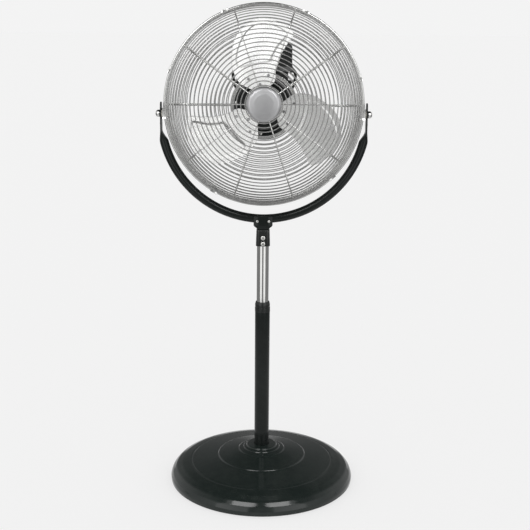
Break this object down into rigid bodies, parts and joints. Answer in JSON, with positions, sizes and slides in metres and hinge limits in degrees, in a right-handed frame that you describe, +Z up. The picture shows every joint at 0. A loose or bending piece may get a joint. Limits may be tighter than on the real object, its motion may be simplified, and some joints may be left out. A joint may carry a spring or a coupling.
{
  "type": "pedestal fan",
  "caption": "Pedestal fan with a round wire drum head in a tilting U yoke, a telescopic pole and a heavy round stepped base.",
  "frame": {"origin": "centre of the round base on the floor", "axes": "+Z up, the fan blows towards -Y, +X to the right of someone facing it"},
  "size_m": [0.5304, 0.478, 1.2242],
  "materials": {
    "black_paint": "gloss black paint on steel",
    "black_plastic": "satin black moulded plastic",
    "chrome": "bright chrome plate",
    "polished_aluminium": "polished sheet",
    "silver_paint": "satin silver paint",
    "zinc_steel": "zinc plated steel",
    "cast_iron": "as cast, dull",
    "rubber": "matt",
    "nylon": "natural nylon",
    "copper": "enamelled copper wire"
  },
  "bodies": {
    "base": {"base_cover": "black_paint", "base_weight": "cast_iron", "base_foot_1": "rubber", "base_foot_2": "rubber", "base_foot_3": "rubber", "base_foot_4": "rubber", "base_washer": "zinc_steel", "base_nut": "zinc_steel", "pole_outer": "black_paint", "pole_plug": "zinc_steel", "collar_bush": "nylon"},
    "collar": {"pole_collar": "black_plastic"},
    "mast": {"pole_inner": "chrome", "pole_guide": "nylon", "knuckle": "black_plastic", "knuckle_screw_lower": "zinc_steel", "knuckle_screw_upper": "zinc_steel"},
    "yoke_frame": {"saddle": "black_paint", "saddle_screw_left": "zinc_steel", "saddle_screw_right": "zinc_steel", "yoke": "black_paint"},
    "head": {"pivot_bracket_left": "black_paint", "pivot_bracket_right": "black_paint", "friction_washer_left": "nylon", "friction_washer_right": "nylon", "front_guard": "chrome", "rear_guard": "chrome", "centre_cap": "silver_paint", "guard_clip_1": "chrome", "guard_clip_2": "chrome", "guard_clip_3": "chrome", "guard_clip_4": "chrome", "guard_clip_5": "chrome", "guard_clip_6": "chrome", "motor_front_housing": "black_paint", "motor_rear_housing": "black_paint", "stator": "zinc_steel", "stator_winding": "copper", "front_bearing": "zinc_steel", "rear_bearing": "zinc_steel", "motor_screw_1": "zinc_steel", "motor_screw_2": "zinc_steel", "motor_screw_3": "zinc_steel", "motor_screw_4": "zinc_steel", "motor_bracket": "black_paint", "control_box": "black_plastic", "speed_switch": "nylon", "capacitor": "nylon", "cable_gland": "black_plastic"},
    "rotor": {"blade_1": "polished_aluminium", "blade_2": "polished_aluminium", "blade_3": "polished_aluminium", "fan_hub": "zinc_steel", "hub_screw": "zinc_steel", "rotor_shaft": "zinc_steel", "rotor_core": "zinc_steel"},
    "speed_dial": {"speed_knob": "black_plastic"},
    "left_knob": {"tilt_knob_left": "chrome"},
    "right_knob": {"tilt_knob_right": "chrome"}
  },
  "joints": [
    {"name": "collar_twist", "type": "hinge", "parent": "base", "child": "collar", "pos_m": [0, 0, 0.468], "axis": [0, 0, 1], "range_deg": [0, 90]},
    {"name": "height_slide", "type": "slide", "parent": "base", "child": "mast", "axis": [0, 0, 1], "range_m": [-0.14, 0.17]},
    {"name": "head_swivel", "type": "hinge", "parent": "mast", "child": "yoke_frame", "pos_m": [0, 0, 0.672], "axis": [0, 0, 1], "range_deg": [-180, 180]},
    {"name": "head_tilt", "type": "hinge", "parent": "yoke_frame", "child": "head", "pos_m": [0, 0, 0.958], "axis": [1, 0, 0], "range_deg": [-83.5, 96.5]},
    {"name": "rotor_spin", "type": "hinge", "parent": "head", "child": "rotor", "pos_m": [0, 0.00243, 0.97936], "axis": [0, -0.9936, 0.1132], "continuous": true},
    {"name": "speed_turn", "type": "hinge", "parent": "head", "child": "speed_dial", "pos_m": [0, 0.1447, 1.0915], "axis": [0, 0.9936, -0.1132], "range_deg": [0, 135]},
    {"name": "left_knob_turn", "type": "hinge", "parent": "head", "child": "left_knob", "pos_m": [-0.258, 0, 0.958], "axis": [-1, 0, 0], "range_deg": [0, 360]},
    {"name": "right_knob_turn", "type": "hinge", "parent": "head", "child": "right_knob", "pos_m": [0.258, 0, 0.958], "axis": [1, 0, 0], "range_deg": [0, 360]}
  ]
}
